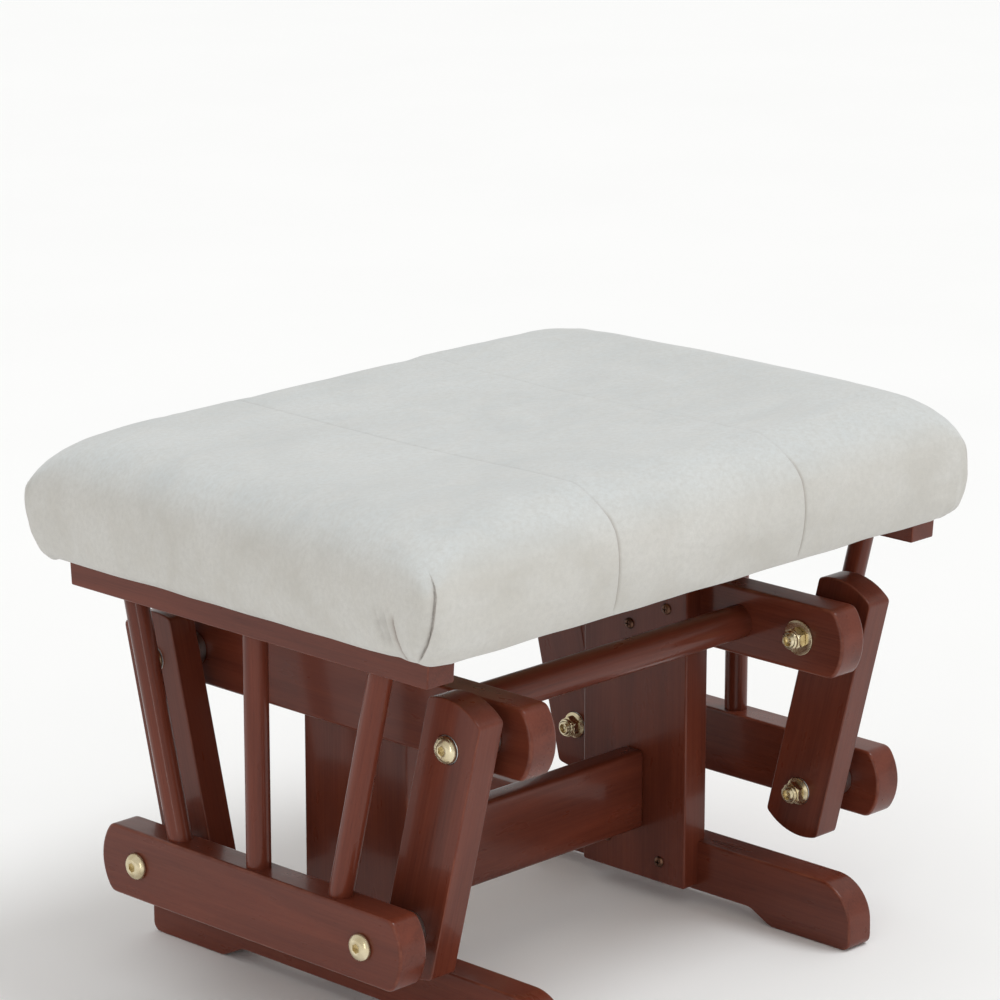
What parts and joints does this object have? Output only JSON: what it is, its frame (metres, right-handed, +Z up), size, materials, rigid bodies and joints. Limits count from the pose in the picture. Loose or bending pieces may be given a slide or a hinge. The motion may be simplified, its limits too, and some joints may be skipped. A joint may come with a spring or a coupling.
{
  "type": "gliding ottoman",
  "caption": "Gliding ottoman: padded three-panel cushion on a spindled wooden deck that hangs from a wooden base by swing arms and glides front to rear.",
  "frame": {"origin": "on the floor under the centre of the stool at rest", "axes": "+X to the right along the long side of the cushion, -Y to the front, +Z up; the deck glides along Y"},
  "size_m": [0.549, 0.399, 0.386],
  "materials": {
    "cherry_wood": "satin lacquer over cherry stain",
    "cushion_fabric": "short-pile plush microfibre",
    "plywood": "raw birch plywood",
    "yellow_zinc_steel": "yellow zinc plating",
    "bearing_steel": "satin steel",
    "bronzed_screw": "dark bronze plating"
  },
  "bodies": {
    "base": {"base_arm_left": "cherry_wood", "pedestal_left": "cherry_wood", "foot_left": "cherry_wood", "pedestal_screw_left_front": "bronzed_screw", "pedestal_screw_left_middle": "bronzed_screw", "upper_washer_front_left": "yellow_zinc_steel", "upper_lock_nut_front_left": "yellow_zinc_steel", "upper_pivot_bolt_front_left": "yellow_zinc_steel", "upper_washer_rear_left": "yellow_zinc_steel", "upper_lock_nut_rear_left": "yellow_zinc_steel", "upper_pivot_bolt_rear_left": "yellow_zinc_steel", "base_arm_right": "cherry_wood", "pedestal_right": "cherry_wood", "foot_right": "cherry_wood", "pedestal_screw_right_front": "bronzed_screw", "pedestal_screw_right_middle": "bronzed_screw", "upper_washer_front_right": "yellow_zinc_steel", "upper_lock_nut_front_right": "yellow_zinc_steel", "upper_pivot_bolt_front_right": "yellow_zinc_steel", "upper_washer_rear_right": "yellow_zinc_steel", "upper_lock_nut_rear_right": "yellow_zinc_steel", "upper_pivot_bolt_rear_right": "yellow_zinc_steel", "lower_stretcher": "cherry_wood", "front_cross_rod": "cherry_wood", "rear_cross_rod": "cherry_wood"},
    "swing_arm_front_left": {"swing_arm_front_left": "cherry_wood", "upper_bearing_front_left": "bearing_steel", "lower_bearing_front_left": "bearing_steel"},
    "swing_arm_rear_left": {"swing_arm_rear_left": "cherry_wood", "upper_bearing_rear_left": "bearing_steel", "lower_bearing_rear_left": "bearing_steel"},
    "swing_arm_front_right": {"swing_arm_front_right": "cherry_wood", "upper_bearing_front_right": "bearing_steel", "lower_bearing_front_right": "bearing_steel"},
    "swing_arm_rear_right": {"swing_arm_rear_right": "cherry_wood", "upper_bearing_rear_right": "bearing_steel", "lower_bearing_rear_right": "bearing_steel"},
    "deck": {"top_rail_left": "cherry_wood", "lower_rail_left": "cherry_wood", "spindle_left_front": "cherry_wood", "spindle_left_middle": "cherry_wood", "spindle_left_rear": "cherry_wood", "lower_flange_nut_front_left": "yellow_zinc_steel", "lower_pivot_bolt_front_left": "yellow_zinc_steel", "lower_flange_nut_rear_left": "yellow_zinc_steel", "lower_pivot_bolt_rear_left": "yellow_zinc_steel", "top_rail_right": "cherry_wood", "lower_rail_right": "cherry_wood", "spindle_right_front": "cherry_wood", "spindle_right_middle": "cherry_wood", "spindle_right_rear": "cherry_wood", "lower_flange_nut_front_right": "yellow_zinc_steel", "lower_pivot_bolt_front_right": "yellow_zinc_steel", "lower_flange_nut_rear_right": "yellow_zinc_steel", "lower_pivot_bolt_rear_right": "yellow_zinc_steel", "deck_cross_rail_front": "cherry_wood", "deck_cross_rail_rear": "cherry_wood", "seat_board": "plywood", "cushion": "cushion_fabric"}
  },
  "joints": [
    {"name": "swing_front_left", "type": "hinge", "parent": "base", "child": "swing_arm_front_left", "pos_m": [-0.1958, -0.1432, 0.2228], "axis": [1, 0, 0], "range_deg": [-12, 12]},
    {"name": "swing_front_right", "type": "hinge", "parent": "base", "child": "swing_arm_front_right", "pos_m": [0.1958, -0.1432, 0.2228], "axis": [1, 0, 0], "range_deg": [-12.5, 12.5]},
    {"name": "swing_rear_left", "type": "hinge", "parent": "base", "child": "swing_arm_rear_left", "pos_m": [-0.1958, 0.1432, 0.2228], "axis": [1, 0, 0], "range_deg": [-12.5, 12.5]},
    {"name": "swing_rear_right", "type": "hinge", "parent": "base", "child": "swing_arm_rear_right", "pos_m": [0.1958, 0.1432, 0.2228], "axis": [1, 0, 0], "range_deg": [-12.5, 12.5]},
    {"name": "deck_pivot", "type": "hinge", "parent": "swing_arm_front_left", "child": "deck", "pos_m": [-0.242, -0.11075, 0.0914], "axis": [1, 0, 0], "range_deg": [-16, 16]}
  ],
  "couplings": [
    {"joint": "swing_front_right", "follows": "swing_front_left", "ratio": 1},
    {"joint": "swing_rear_left", "follows": "swing_front_left", "ratio": 1},
    {"joint": "swing_rear_right", "follows": "swing_front_left", "ratio": 1},
    {"joint": "deck_pivot", "follows": "swing_front_left", "ratio": -1.2886}
  ]
}
